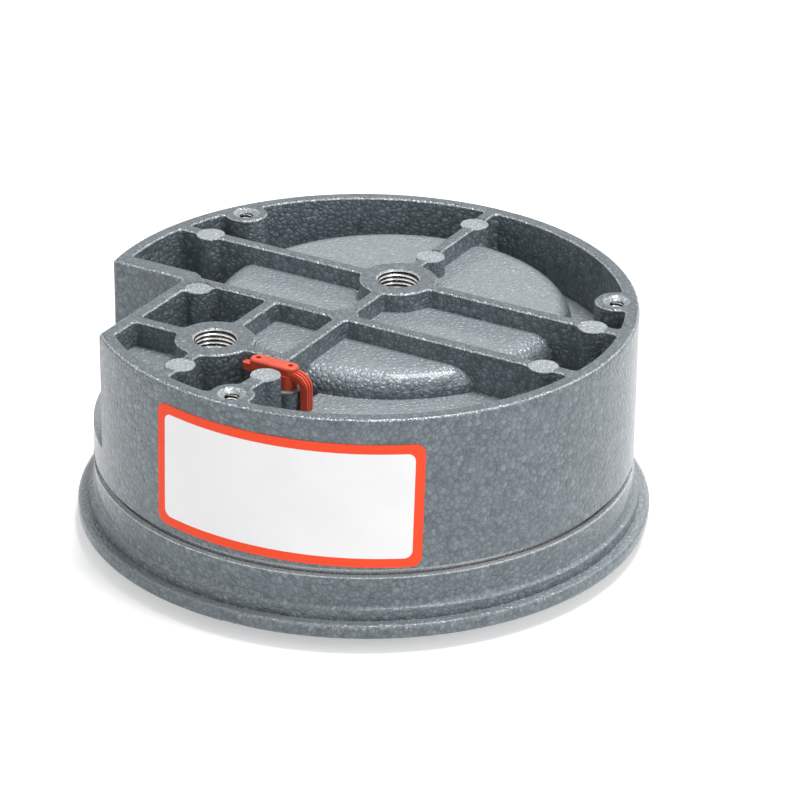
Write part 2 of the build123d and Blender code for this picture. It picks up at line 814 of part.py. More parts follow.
def build_wishbone():
    """Bracket with two jewelled arms, a hub on the zero pivot and a fork for the screw."""
    low = front_arm_level
    high = rear_arm_level + arm_thickness
    spine_front = spine_y - spine_depth / 2
    spine_back = spine_y + spine_depth / 2
    arm = strip((0, pivot_y), (0, spine_front), spine_width) + spot(arm_radius, (0, pivot_y))
    lower = strip((0, spine_back), (0, fork_end_y), fork_width) + spot(
        zero_hub_radius, (0, zero_pivot_y))
    fork_gap = 2 * (zero_pin_radius + zero_fork_clearance)
    slot = strip((0, zero_screw_y + 3.0), (0, fork_end_y - 1), fork_gap)
    body = Pos(0, 0, low) * extrude(arm + lower - slot, arm_thickness)
    body += Pos(0, 0, rear_arm_level) * extrude(arm, arm_thickness)
    body += block(-spine_width / 2, spine_width / 2, spine_front, spine_back, low, high)
    body += disc(zero_hub_radius, low, zero_hub_top, 0, zero_pivot_y)
    body -= disc(zero_pivot_radius + running_clearance, 0, rim_level, 0, zero_pivot_y)
    return body - disc(jewel_radius, 0, rim_level, 0, pivot_y)


def build_jewels():
    """Ring jewels in both arms of the wishbone."""
    rings = []
    for low in (front_arm_level, rear_arm_level):
        rings.append(ring(jewel_radius, shaft_radius + running_clearance, low,
                          low + arm_thickness, 0, pivot_y).solid())
    return Compound(rings)


def build_wishbone_pivot():
    """Shoulder screw that carries the wishbone's hub under its post."""
    under = front_arm_level - 0.05
    return screw(zero_pivot_radius, pivot_head_radius, pivot_head, under, zero_pivot_tip(),
                 (0, zero_pivot_y), 0.5)


def build_zero_screw():
    """Zero adjusting screw: slotted head in the cover, shank and an eccentric end pin."""
    low = flange_bottom + zero_head_recess
    body = disc(zero_head_radius, low, low + zero_head_height, 0, zero_screw_y)
    body = chamfer(body.edges().sort_by(Axis.Z)[0], 0.3)
    body -= block(-2 * zero_head_radius, 2 * zero_head_radius,
                  zero_screw_y - zero_slot_width / 2, zero_screw_y + zero_slot_width / 2,
                  low - 1, low + zero_slot_depth)
    body += disc(zero_shank_radius, low + zero_head_height, zero_shank_top, 0, zero_screw_y)
    return body + disc(zero_pin_radius, zero_shank_top, front_arm_level + arm_thickness + 0.3,
                       0, zero_screw_y - zero_eccentricity)


def build_zero_seal():
    """Soft washer behind the cover, round the zero screw."""
    low = flange_bottom + cover_thickness
    return ring(zero_seal_radius, zero_shank_radius + 0.1, low, low + zero_seal_thickness,
                0, zero_screw_y)


def build_side_plug(place):
    """Socket pipe plug in a side port."""
    radius = port_radius - plug_clearance
    body = Cylinder(radius, plug_length + plug_stand_out, align=BOTTOM)
    body = chamfer(body.edges().filter_by(GeomType.CIRCLE), 0.4)
    socket = extrude(RegularPolygon(socket_flats / 2, 6, major_radius=False), socket_depth)
    return place * Pos(0, 0, -plug_stand_out) * (body - socket)


def strap_path():
    """Centre line of the relief plug's bow, from the bar's end down to the floor."""
    top = rim_level - plug_bar_thickness / 2 - strap_drop
    start = (plug_bar_x + plug_bar_length / 2 - 1.6, plug_bar_y - 0.2, top)
    turn = (strap_reach, plug_bar_y - 0.2, top - 0.3)
    foot = (strap_reach, plug_bar_y - 0.2, step_floor)
    return FilletPolyline(start, turn, foot, radius=strap_bend_radius)


def build_relief_plug():
    """Rubber relief plug: holed bar with a tail, a stopper in its boss and a ribbed bow."""
    low = rim_level - plug_bar_thickness
    half = plug_bar_length / 2 - plug_bar_width / 2
    bar = Pos(plug_bar_x, plug_bar_y, low) * extrude(
        SlotCenterToCenter(2 * half, plug_bar_width), plug_bar_thickness)
    bar = fillet(bar.edges().group_by(Axis.Z)[-1], plug_bar_rounding)
    for x in (plug_bar_x - half, plug_bar_x + half):
        bar -= disc(plug_bar_hole, rim_level - 1.2, rim_level + 1, x, plug_bar_y)
    end = plug_bar_x - plug_bar_length / 2
    tail = block(end - plug_tail_length, end + plug_bar_width / 2,
                 plug_bar_y - plug_tail_width / 2, plug_bar_y + plug_tail_width / 2,
                 low - plug_tail_thickness / 2, low + plug_tail_thickness / 2)
    tail = fillet(tail.edges().filter_by(Axis.Z).sort_by(Axis.X)[:2], plug_tail_width * 0.4)
    stem = disc(plug_stem_radius, deep_floor, low + 0.5, *plug_stem_point)
    path = strap_path()
    third = strap_width / 3
    section = Rectangle(strap_thickness - strap_groove, strap_width)
    for offset in (-third, 0, third):
        section += Pos(strap_groove / 2, offset) * Rectangle(
            strap_thickness, third - strap_groove)
    frame = Plane(origin=path @ 0, x_dir=(0, 0, 1), z_dir=path % 0)
    strap = sweep(frame * section, path=path)
    return bar + tail + stem + strap


def main():
    """Build every piece and write one STEP file a node."""
    side_high = Pos(high_side_x, notch_y, side_port_level) * Rot(-90, 0, 0)
    side_low = Pos(notch_x, low_side_y, side_port_level) * Rot(0, 90, 0)
    nodes = {
        "case": build_case(),
        "bezel": build_bezel(),
        "cover": build_cover(),
        "cover_gasket": build_gasket(),
        "dial": build_dial(),
        "dial_screws": build_dial_screws(),
        "pointer_stops": build_pointer_stops(),
        "relief_plug": build_relief_plug(),
        "diaphragm": build_diaphragm(),
        "diaphragm_ring": build_diaphragm_ring(),
        "ring_screws": build_ring_screws(),
        "rear_plate": build_rear_plate(),
        "front_plate": build_front_plate(),
        "link_stud": build_link_stud(),
        "range_spring": build_range_spring(),
        "spring_clamp": build_spring_clamp(),
        "clamp_screws": build_clamp_screws(),
        "magnet": build_magnet(),
        "helix": build_helix(),
        "pointer_shaft": build_pointer_shaft(),
        "pointer": build_pointer(),
        "wishbone": build_wishbone(),
        "jewel_bearings": build_jewels(),
        "wishbone_pivot": build_wishbone_pivot(),
        "zero_screw": build_zero_screw(),
        "zero_seal": build_zero_seal(),
        "high_side_plug": build_side_plug(side_high),
        "low_side_plug": build_side_plug(side_low),
    }
    os.makedirs("parts", exist_ok=True)
    for name, shape in nodes.items():
        export_step(shape, f"parts/{name}.step")
        print(name, round(shape.volume, 1), shape.is_valid)


main()
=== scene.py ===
"""Finishes, threads, dial print, bare label, stage and camera for the pressure gauge."""
import math

import bmesh
import bpy
from bpy.props import FloatProperty, FloatVectorProperty, IntProperty, PointerProperty
from mathutils import Matrix, Vector


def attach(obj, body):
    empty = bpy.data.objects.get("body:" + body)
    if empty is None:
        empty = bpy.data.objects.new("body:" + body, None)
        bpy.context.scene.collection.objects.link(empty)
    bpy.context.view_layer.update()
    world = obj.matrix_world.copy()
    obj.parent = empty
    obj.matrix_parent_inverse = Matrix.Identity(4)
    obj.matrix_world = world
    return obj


bl_info = {
    "name": "Pressure gauge finish",
    "version": (1, 0, 0),
    "blender": (4, 5, 0),
    "location": "View3D > Sidebar > Gauge",
    "description": "Dresses a cast differential pressure gauge and sets its stage",
    "category": "Object",
}

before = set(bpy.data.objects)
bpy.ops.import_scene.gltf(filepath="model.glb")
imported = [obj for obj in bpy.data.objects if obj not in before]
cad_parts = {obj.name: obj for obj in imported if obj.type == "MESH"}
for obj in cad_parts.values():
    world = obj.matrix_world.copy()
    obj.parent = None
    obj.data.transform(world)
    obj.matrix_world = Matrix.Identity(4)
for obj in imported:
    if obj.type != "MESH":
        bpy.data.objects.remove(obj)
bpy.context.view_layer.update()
MM = 0.001

CASE_RADIUS = 57.15 * MM
RIM_LEVEL = 50.0 * MM
SKIRT_LEVEL = 16.95 * MM
BEZEL_TOP = 15.24 * MM
DIAL_FACE = 9.5 * MM
POINTER_PIVOT = (0.0, -18.0 * MM)
SCALE_START = 50.0
SCALE_SWEEP = 80.0
HIGH_PORT = (0.6 * MM, 12.8 * MM)
LOW_PORT = (-16.6 * MM, -32.2 * MM)
PORT_RADIUS = 4.4 * MM
PORT_MOUTH = 0.45 * MM
HIGH_PORT_FLOOR = 42.6 * MM
LOW_PORT_FLOOR = 40.0 * MM
HOLE_RADIUS = 1.5 * MM
HOLE_DISH = 0.8 * MM
HOLE_CIRCLE = 52.39 * MM
HOLE_ANGLES = (30.0, 150.0, 270.0)
MOUTH_BARE = 0.42 * MM
MOUTH_RAGGED = 0.6 * MM
HOLE_BARE = 0.65 * MM
HOLE_RAGGED = 2.2 * MM
SPIGOT_MARGIN = 0.05 * MM
RELIEF_DEPTH = 0.15 * MM
TOOL_MARK_DEPTH = 0.02 * MM
PRINT_LIFT = 0.03 * MM
BORE_MARGIN = 0.01 * MM
PORT_THREAD_DEPTH = 0.5 * MM
HOLE_THREAD_DEPTH = 0.26 * MM
HOLE_THREAD_LENGTH = 9.0 * MM
LABEL_THICKNESS = 0.12 * MM
LABEL_FACE_LOW = 0.05 * MM
LABEL_FACE_HIGH = 0.15 * MM
FLOOR_DROP = 0.02 * MM
LAMP_AIM = (0.0, 0.0, 0.03)
LINE_TINT = (0.36, 0.37, 0.38, 1.0)
# Painted highlight tints for the rib edges and the bezel's crest.
EDGE_GLINT_TINT = (0.62, 0.65, 0.67, 1.0)
CREST_GLINT_TINT = (0.8, 0.82, 0.83, 1.0)
BARE_DARK = (0.50, 0.51, 0.52, 1.0)
BARE_LIGHT = (0.80, 0.80, 0.81, 1.0)
THREAD_DARK = (0.78, 0.77, 0.75, 1.0)
THREAD_LIGHT = (0.97, 0.97, 0.96, 1.0)
# Painted shade for the thread roots.
THREAD_ROOT_SHADE = (0.045, 0.043, 0.040, 1.0)


def on_circle(radius, angle, centre=(0.0, 0.0)):
    """Point at an angle in degrees on a circle."""
    turn = math.radians(angle)
    return centre[0] + radius * math.cos(turn), centre[1] + radius * math.sin(turn)


HOLE_CENTRES = [on_circle(HOLE_CIRCLE, angle) for angle in HOLE_ANGLES]


class Nodes:
    """Short hand for building one node material."""

    def __init__(self, name):
        self.material = bpy.data.materials.new(name)
        self.material.use_nodes = True
        self.tree = self.material.node_tree
        self.shader = self.tree.nodes["Principled BSDF"]
        source = self.add("ShaderNodeTexCoord")
        self.coordinates = source.outputs["Object"]
        self.facing = source.outputs["Normal"]

    def add(self, kind):
        """A new node of a kind."""
        return self.tree.nodes.new(kind)

    def feed(self, socket, value):
        """Links a socket to an output, or sets its value."""
        if isinstance(value, bpy.types.NodeSocket):
            self.tree.links.new(value, socket)
        else:
            socket.default_value = value

    def math(self, operation, first, second=0.0, clamp=False):
        """One math node."""
        made = self.add("ShaderNodeMath")
        made.operation = operation
        made.use_clamp = clamp
        self.feed(made.inputs[0], first)
        self.feed(made.inputs[1], second)
        return made.outputs[0]

    def ramp(self, value, low, high, start=0.0, end=1.0):
        """Value mapped from low..high to start..end, clamped and smoothed."""
        made = self.add("ShaderNodeMapRange")
        made.interpolation_type = "SMOOTHSTEP"
        self.feed(made.inputs["Value"], value)
        for name, number in (("From Min", low), ("From Max", high), ("To Min", start), ("To Max", end)):
            made.inputs[name].default_value = number
        return made.outputs["Result"]

    def mix(self, factor, first, second, blend="MIX"):
        """Two colours mixed."""
        made = self.add("ShaderNodeMix")
        made.data_type = "RGBA"
        made.blend_type = blend
        self.feed(made.inputs["Factor"], factor)
        self.feed(made.inputs["A"], first)
        self.feed(made.inputs["B"], second)
        return made.outputs["Result"]

    def noise(self, scale, detail=3.0, rough=0.55, vector=None):
        """Noise value at a scale in features per metre."""
        made = self.add("ShaderNodeTexNoise")
        self.feed(made.inputs["Vector"], vector or self.coordinates)
        made.inputs["Scale"].default_value = scale
        made.inputs["Detail"].default_value = detail
        made.inputs["Roughness"].default_value = rough
        return made.outputs[0]

    def cells(self, scale, feature, vector):
        """Cell pattern at a scale in cells per metre."""
        made = self.add("ShaderNodeTexVoronoi")
        made.feature = feature
        self.feed(made.inputs["Vector"], vector)
        made.inputs["Scale"].default_value = scale
        return made.outputs

    def stretched(self, across, along):
        """Object coordinates scaled apart, for marks that run round an upright axis."""
        made = self.add("ShaderNodeMapping")
        self.feed(made.inputs["Vector"], self.coordinates)
        made.inputs["Scale"].default_value = (across, across, along)
        return made.outputs[0]

    def bump(self, height, strength, distance):
        """Bumped normal from a height."""
        made = self.add("ShaderNodeBump")
        self.feed(made.inputs["Height"], height)
        made.inputs["Strength"].default_value = strength
        made.inputs["Distance"].default_value = distance
        return made.outputs["Normal"]

    def split(self, vector=None):
        """X, Y and Z of a vector, by default of the object coordinates."""
        made = self.add("ShaderNodeSeparateXYZ")
        self.feed(made.inputs[0], vector or self.coordinates)
        return made.outputs

    def band(self, value, low, full, fall, end):
        """One between two levels, rising from low to full and falling from fall to end."""
        return self.math("MULTIPLY", self.ramp(value, low, full), self.ramp(value, fall, end, 1.0, 0.0))

    def without(self, mask, share=1.0):
        """One less a share of a mask."""
        part = mask if share == 1.0 else self.math("MULTIPLY", mask, share)
        return self.math("SUBTRACT", 1.0, part)

    def finish(self, **inputs):
        """Sets or links the surface shader's inputs and returns the material."""
        for key, value in inputs.items():
            self.feed(self.shader.inputs[key.replace("_", " ")], value)
        return self.material


def rgba(colour):
    """Colour with full alpha."""
    return (*colour, 1.0)


def shade(colour, factor):
    """Colour scaled in brightness."""
    return tuple(min(1.0, part * factor) for part in colour)


def distance_to(nodes, axes, centre):
    """Distance from an upright axis in the object coordinates."""
    across = nodes.math("SUBTRACT", axes["X"], centre[0])
    along = nodes.math("SUBTRACT", axes["Y"], centre[1])
    square = nodes.math("ADD", nodes.math("MULTIPLY", across, across), nodes.math("MULTIPLY", along, along))
    return nodes.math("SQRT", square)


def nearest_bore(nodes, axes, centres):
    """Distance from the nearest of several upright bores."""
    nearest = distance_to(nodes, axes, centres[0])
    for centre in centres[1:]:
        nearest = nodes.math("MINIMUM", nearest, distance_to(nodes, axes, centre))
    return nearest


def bare_mask(nodes, axes, grain):
    """One where the casting is machined bare: spigot, port mouths and rough hole edges."""
    spigot = nodes.math("LESS_THAN", axes["Z"], SKIRT_LEVEL - SPIGOT_MARGIN)
    mask = spigot
    for centres, ragged, reach in (
        ((HIGH_PORT, LOW_PORT), MOUTH_RAGGED, PORT_RADIUS + MOUTH_BARE),
        (HOLE_CENTRES, HOLE_RAGGED, HOLE_RADIUS + HOLE_BARE),
    ):
        away = nodes.math("ADD", nearest_bore(nodes, axes, centres), nodes.math("MULTIPLY", grain, ragged))
        mask = nodes.math("MAXIMUM", mask, nodes.math("LESS_THAN", away, reach))
    return mask


def pebbles(nodes, cell):
    """Edge and middle patterns of the pebbles of a warped field."""
    warp = nodes.add("ShaderNodeTexNoise")
    nodes.feed(warp.inputs["Vector"], nodes.coordinates)
    warp.inputs["Scale"].default_value = 1.2 / cell
    warp.inputs["Detail"].default_value = 1.0
    shift = nodes.add("ShaderNodeVectorMath")
    shift.operation = "MULTIPLY_ADD"
    nodes.feed(shift.inputs[0], warp.outputs["Color"])
    shift.inputs[1].default_value = (cell * 0.5,) * 3
    nodes.feed(shift.inputs[2], nodes.coordinates)
    place = shift.outputs[0]
    edge = nodes.cells(1.0 / cell, "DISTANCE_TO_EDGE", place)
    return edge["Distance"], nodes.cells(1.0 / cell, "F1", place)


def mottled_body(nodes, colour, grain, tint, mottle):
    """Paint whose pebbles differ a little in lightness."""
    body = nodes.mix(nodes.ramp(grain, 0.3, 0.7), rgba(shade(colour, 0.92)), rgba(shade(colour, 1.1)))
    tints = nodes.add("ShaderNodeSeparateColor")
    nodes.feed(tints.inputs[0], tint)
    for channel, factor in ((0, 1.9), (1, 0.35)):
        share = nodes.ramp(tints.outputs[channel], 0.55, 1.0, 0.0, mottle)
        body = nodes.mix(share, body, rgba(shade(colour, factor)))
    return body


def painted_edge_glints(nodes, body, height, grain):
    """Painted highlight: lighter tint in broken spots along the rib tops' rounded edges and the bezel's
    upper edge, standing in for glints.
    """
    rim = nodes.band(
        height, RIM_LEVEL - 0.40 * MM, RIM_LEVEL - 0.24 * MM, RIM_LEVEL - 0.10 * MM, RIM_LEVEL - 0.02 * MM)
    crest = nodes.band(
        height, BEZEL_TOP - 0.4 * MM, BEZEL_TOP - 0.05 * MM, BEZEL_TOP + 0.01 * MM, BEZEL_TOP + 0.05 * MM)
    body = nodes.mix(nodes.math("MULTIPLY", rim, nodes.ramp(grain, 0.42, 0.62, 0.05, 0.75)), body, EDGE_GLINT_TINT)
    return nodes.mix(nodes.math("MULTIPLY", crest, nodes.ramp(grain, 0.4, 0.6, 0.2, 0.9)), body, CREST_GLINT_TINT)


def hammered_paint(name, settings, bare):
    """Hammered paint: soft pebbles of two sizes, faint dark lines, grain and a wet gloss."""
    nodes = Nodes(name)
    colour = tuple(settings.paint_colour)
    cell = settings.paint_cell
    flake = settings.paint_flake
    large, middle = pebbles(nodes, cell)
    away = middle["Distance"]
    small, _ = pebbles(nodes, cell * 0.5)
    patch = nodes.noise(0.5 / cell, 2.0)
    grain = nodes.noise(3.6 / cell, 2.0, 0.6)
    axes = nodes.split()
    body = mottled_body(nodes, colour, grain, middle["Color"], settings.paint_mottle)

    top = nodes.ramp(axes["Z"], RIM_LEVEL - 0.42 * MM, RIM_LEVEL - 0.05 * MM)
    # Painted highlight: upward-facing faces below the rim get a paler tone that stands in for the stronger
    # light from overhead.
    upward = nodes.split(nodes.facing)["Z"]
    level = nodes.math("MULTIPLY", nodes.ramp(upward, 0.5, 0.95), nodes.without(top))
    body = nodes.mix(nodes.math("MULTIPLY", level, settings.floor_highlight_share), body, rgba(settings.floor_highlight_colour))
    # Painted shade: the rib tops and the rim get a darker tone that stands in for their dimmer lighting.
    body = nodes.mix(nodes.math("MULTIPLY", top, settings.top_painted_shade), body, rgba(shade(colour, 0.5)))

    lines = nodes.math(
        "MULTIPLY", nodes.ramp(large, 0.0, 0.22, 0.33, 0.0), nodes.ramp(patch, 0.3, 0.6, 0.3, 1.0))
    finer = nodes.ramp(away, 0.38, 0.78, 0.0, 0.20)
    drawn = nodes.math("MULTIPLY", nodes.math("ADD", lines, finer, clamp=True), nodes.without(level, 0.65))
    body = nodes.mix(drawn, body, LINE_TINT, "MULTIPLY")
    # Painted highlight: glint-like lighter spots along the rib edges and the bezel's crest.
    body = painted_edge_glints(nodes, body, axes["Z"], grain)

    height = nodes.math("ADD", nodes.ramp(large, 0.0, 0.34), nodes.ramp(away, 0.1, 0.8, 0.7, 0.0))
    height = nodes.math("ADD", height, nodes.ramp(small, 0.0, 0.4, 0.0, 0.35))
    roughness = nodes.ramp(grain, 0.3, 0.8, 0.28, 0.40)
    metallic = flake
    if bare:
        mask = bare_mask(nodes, axes, grain)
        turned = nodes.noise(1.0, 2.0, 0.5, nodes.stretched(40.0, 5200.0))
        body = nodes.mix(mask, body, nodes.mix(turned, BARE_DARK, BARE_LIGHT))
        roughness = nodes.math("MULTIPLY", roughness, nodes.without(mask, 0.2))
        metallic = nodes.math("ADD", nodes.math("MULTIPLY", mask, 0.8 - flake), flake)
        height = nodes.math("MULTIPLY", height, nodes.without(mask))
    return nodes.finish(
        Base_Color=body, Metallic=metallic, Roughness=roughness,
        Normal=nodes.bump(height, settings.paint_relief, RELIEF_DEPTH),
        Specular_IOR_Level=0.22, Coat_Weight=0.30, Coat_Roughness=0.05,
    )


def cut_thread_metal(name, centres, wall, crest):
    """Freshly cut thread: bright crests, painted shade in the roots and fine tool lines."""
    nodes = Nodes(name)
    away = nearest_bore(nodes, nodes.split(), centres)
    # Painted shade: the thread roots are painted near black where shade falls between the crests.
    root_shade = nodes.ramp(away, crest + (wall - crest) * 0.25, wall - (wall - crest) * 0.1)
    grain = nodes.noise(1.0, 3.0, 0.6, nodes.stretched(300.0, 9000.0))
    bright = nodes.mix(grain, THREAD_DARK, THREAD_LIGHT)
    return nodes.finish(
        Base_Color=nodes.mix(root_shade, bright, THREAD_ROOT_SHADE), Metallic=1.0,
        Roughness=nodes.ramp(grain, 0.2, 0.8, 0.12, 0.24),
        Normal=nodes.bump(grain, 0.25, TOOL_MARK_DEPTH),
    )


def turned_metal(name, colour, roughness, scratch=2400.0):
    """Machined metal with fine tool lines and small stains."""
    nodes = Nodes(name)
    grain = nodes.noise(1.0, 3.0, 0.6, nodes.stretched(180.0, scratch))
    stain = nodes.noise(160.0, 3.0)
    tone = nodes.mix(grain, rgba(shade(colour, 0.82)), rgba(shade(colour, 1.08)))
    tone = nodes.mix(nodes.ramp(stain, 0.5, 0.8, 0.0, 0.3), tone, rgba(shade(colour, 0.6)))
    return nodes.finish(
        Base_Color=tone, Metallic=1.0,
        Roughness=nodes.ramp(grain, 0.2, 0.8, roughness * 0.8, roughness * 1.3),
        Normal=nodes.bump(grain, 0.25, TOOL_MARK_DEPTH),
    )


def soft_rubber(name, colour, roughness=0.5):
    """Moulded rubber with a faint orange peel and lighter rubbed spots."""
    nodes = Nodes(name)
    peel = nodes.noise(2600.0, 2.0)
    cloud = nodes.noise(220.0, 2.0)
    tone = nodes.mix(nodes.ramp(cloud, 0.35, 0.7), rgba(shade(colour, 0.88)), rgba(shade(colour, 1.08)))
    return nodes.finish(
        Base_Color=tone, Roughness=nodes.ramp(peel, 0.3, 0.7, roughness - 0.08, roughness + 0.1),
        Normal=nodes.bump(peel, 0.3, 0.04 * MM), Specular_IOR_Level=0.45,
    )


def smooth_paint(name, colour, roughness, coat=0.0, specular=0.5):
    """Even paint or print with a fine grain."""
    nodes = Nodes(name)
    grain = nodes.noise(3000.0, 2.0)
    cloud = nodes.noise(90.0, 2.0)
    tone = nodes.mix(nodes.ramp(cloud, 0.3, 0.7), rgba(shade(colour, 0.97)), rgba(colour))
    return nodes.finish(
        Base_Color=tone, Roughness=nodes.ramp(grain, 0.3, 0.7, roughness * 0.85, roughness * 1.15),
        Normal=nodes.bump(grain, 0.08, 0.01 * MM), Coat_Weight=coat, Coat_Roughness=0.1,
        Specular_IOR_Level=specular,
    )


def clear_plastic(name):
    """Clear moulded window with a trace of haze and fine wipe marks."""
    nodes = Nodes(name)
    haze = nodes.noise(300.0, 4.0, 0.7)
    return nodes.finish(
        Base_Color=nodes.mix(haze, (0.94, 0.97, 0.97, 1.0), (1.0, 1.0, 1.0, 1.0)),
        Roughness=nodes.ramp(haze, 0.55, 0.8, 0.02, 0.09), Transmission_Weight=1.0, IOR=1.49,
    )


def dress(name, material):
    """Gives a CAD node its material."""
    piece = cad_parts[name]
    if piece.material_slots:
        for slot in piece.material_slots:
            slot.material = material
    else:
        piece.data.materials.append(material)


def mesh_piece(name, vertices, faces, material, body, slot, smooth=True):
    """New mesh piece that rides on a body; the slot argument is not used."""
    mesh = bpy.data.meshes.new(name)
    mesh.from_pydata(vertices, [], faces)
    mesh.update()
    edit = bmesh.new()
    edit.from_mesh(mesh)
    bmesh.ops.remove_doubles(edit, verts=edit.verts, dist=1e-7)
    bmesh.ops.recalc_face_normals(edit, faces=edit.faces)
    edit.to_mesh(mesh)
    edit.free()
    mesh.polygons.foreach_set("use_smooth", [smooth] * len(mesh.polygons))
    piece = bpy.data.objects.new(name, mesh)
    bpy.context.scene.collection.objects.link(piece)
    mesh.materials.append(material)
    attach(piece, body)
    return piece


def quads(rows, columns, closed=False):
    """Faces of a grid of rows by columns of vertices."""
    faces = []
    for row in range(rows - 1):
        for column in range(columns if closed else columns - 1):
            after = (column + 1) % columns
            low, high = row * columns, (row + 1) * columns
            faces.append((low + column, low + after, high + after, high + column))
    return faces


def thread_shell(centre, wall, crest, pitch, low, high):
    """Inner thread as a thin ridged sleeve just inside a bore's wall."""
    turns = 64
    steps = max(2, int(round((high - low) / pitch * 8)))
    vertices = []
    for step in range(steps + 1):
        level = low + (high - low) * step / steps
        fade = min(1.0, (high - level) / pitch * 1.6, (level - low) / pitch * 1.6)
        for turn in range(turns):
            angle = 2 * math.pi * turn / turns
            phase = (level / pitch - turn / turns) % 1.0
            ridge = max(0.0, 1.0 - abs(phase - 0.5) * 2.4)
            radius = wall - (wall - crest) * ridge * max(0.0, fade)
            x = centre[0] + radius * math.cos(angle)
            y = centre[1] + radius * math.sin(angle)
            vertices.append((x, y, level))
    return vertices, quads(steps + 1, turns, closed=True)


def wall_point(settings, across, up, stand_off):
    """Point on the case's wall at a place on the tilted label."""
    tilt = math.radians(settings.label_tilt)
    along = across * math.cos(tilt) - up * math.sin(tilt)
    rise = across * math.sin(tilt) + up * math.cos(tilt)
    angle = math.radians(settings.label_angle) + along / CASE_RADIUS
    radius = CASE_RADIUS + stand_off
    return radius * math.cos(angle), radius * math.sin(angle), settings.label_level + rise


def label_columns(width, corner, bends=8, middle=80):
    """Places across the label, close together at its rounded corners."""
    half = width / 2
    left = [-half + corner * (1 - math.cos(math.pi / 2 * step / bends)) for step in range(bends)]
    span = width - 2 * corner
    centre = [-half + corner + span * step / middle for step in range(middle + 1)]
    return left + centre + [-place for place in reversed(left)]


def label_sheet(settings, width, height, corner, low, high):
    """Closed thin sheet with rounded corners, bent round the case's wall."""
    places = label_columns(width, corner)
    rows = 14
    outer = []
    inner = []
    for across in places:
        into = max(0.0, abs(across) - (width / 2 - corner))
        reach = height / 2 - corner + math.sqrt(max(0.0, corner * corner - into * into))
        for row in range(rows + 1):
            up = (row / rows - 0.5) * 2 * reach
            outer.append(wall_point(settings, across, up, high))
            inner.append(wall_point(settings, across, up, low))
    count = len(outer)
    columns = len(places) - 1
    faces = quads(columns + 1, rows + 1)
    faces += [tuple(count + index for index in reversed(face)) for face in faces]
    stride = rows + 1
    for column in range(columns):
        for row in (0, rows):
            near = column * stride + row
            far = near + stride
            faces.append((near, far, far + count, near + count))
    for column in (0, columns):
        for row in range(rows):
            near = column * stride + row
            faces.append((near, near + 1, near + 1 + count, near + count))
    return outer + inner, faces


def arc_strip(radius, width, start, end, level, steps=96):
    """Flat arc on the dial about the pointer's pivot."""
    vertices = []
    for step in range(steps + 1):
        angle = start + (end - start) * step / steps
        for reach in (radius - width / 2, radius + width / 2):
            vertices.append((*on_circle(reach, angle, POINTER_PIVOT), level))
    return vertices, quads(steps + 1, 2)


def tick(radius_low, radius_high, width, angle, level):
    """Flat radial tick on the dial."""
    turn = math.radians(angle)
    side = Vector((-math.sin(turn), math.cos(turn))) * width / 2
    vertices = []
    for radius in (radius_low, radius_high):
        x, y = on_circle(radius, angle, POINTER_PIVOT)
        vertices += [(x - side.x, y - side.y, level), (x + side.x, y + side.y, level)]
    return vertices, [(0, 1, 3, 2)]


def joined(parts):
    """Vertices and faces of several parts as one."""
    vertices = []
    faces = []
    for part_vertices, part_faces in parts:
        offset = len(vertices)
        vertices += part_vertices
        faces += [tuple(index + offset for index in face) for face in part_faces]
    return vertices, faces


class GaugePaintSettings(bpy.types.PropertyGroup):
    """Colours and sizes of the finishes."""

    paint_colour: FloatVectorProperty(
        name="Paint colour", description="Base colour of the hammered paint",
        subtype="COLOR", size=3, min=0.0, max=1.0, default=(0.152, 0.184, 0.203),
    )
    paint_cell: FloatProperty(
        name="Paint cell", description="Width of one hammered cell",
        default=1.12 * MM, min=0.2 * MM, max=6.0 * MM, unit="LENGTH", precision=5,
    )
    paint_relief: FloatProperty(
        name="Paint relief", description="Strength of the hammered relief",
        default=0.70, min=0.0, max=1.0, subtype="FACTOR",
    )
    paint_flake: FloatProperty(
        name="Paint flake", description="Share of metal flake in the paint",
        default=0.20, min=0.0, max=1.0, subtype="FACTOR",
    )
    paint_mottle: FloatProperty(
        name="Pebble mottle",
        description="How much one pebble differs from the next in lightness",
        default=0.34, min=0.0, max=1.0, subtype="FACTOR",
    )
    # Painted shade: strength of the darker tone painted on the rib tops and the rim.
    top_painted_shade: FloatProperty(
        name="Top shade", description="How much darker the rib tops and the rim are painted",
        default=0.45, min=0.0, max=1.0, subtype="FACTOR",
    )
    # Painted highlight: paler tone painted on level floors and other upward-facing faces in place of the
    # overhead light on them.
    floor_highlight_colour: FloatVectorProperty(
        name="Floor colour", description="Paler tone of the paint where it pools on level floors",
        subtype="COLOR", size=3, min=0.0, max=1.0, default=(0.400, 0.428, 0.446),
    )
    floor_highlight_share: FloatProperty(
        name="Floor shade", description="How much of the paler tone lies on level floors",
        default=0.42, min=0.0, max=1.0, subtype="FACTOR",
    )
    rubber_colour: FloatVectorProperty(
        name="Relief plug colour", description="Colour of the rubber relief plug",
        subtype="COLOR", size=3, min=0.0, max=1.0, default=(0.58, 0.070, 0.030),
    )
    thread_pitch: FloatProperty(
        name="Port thread pitch", description="Pitch of the ports' taper thread",
        default=0.94 * MM, min=0.3 * MM, max=3.0 * MM, unit="LENGTH", precision=5,
    )
    hole_pitch: FloatProperty(
        name="Hole thread pitch", description="Pitch of the threads in the mounting holes",
        default=0.79 * MM, min=0.3 * MM, max=3.0 * MM, unit="LENGTH", precision=5,
    )


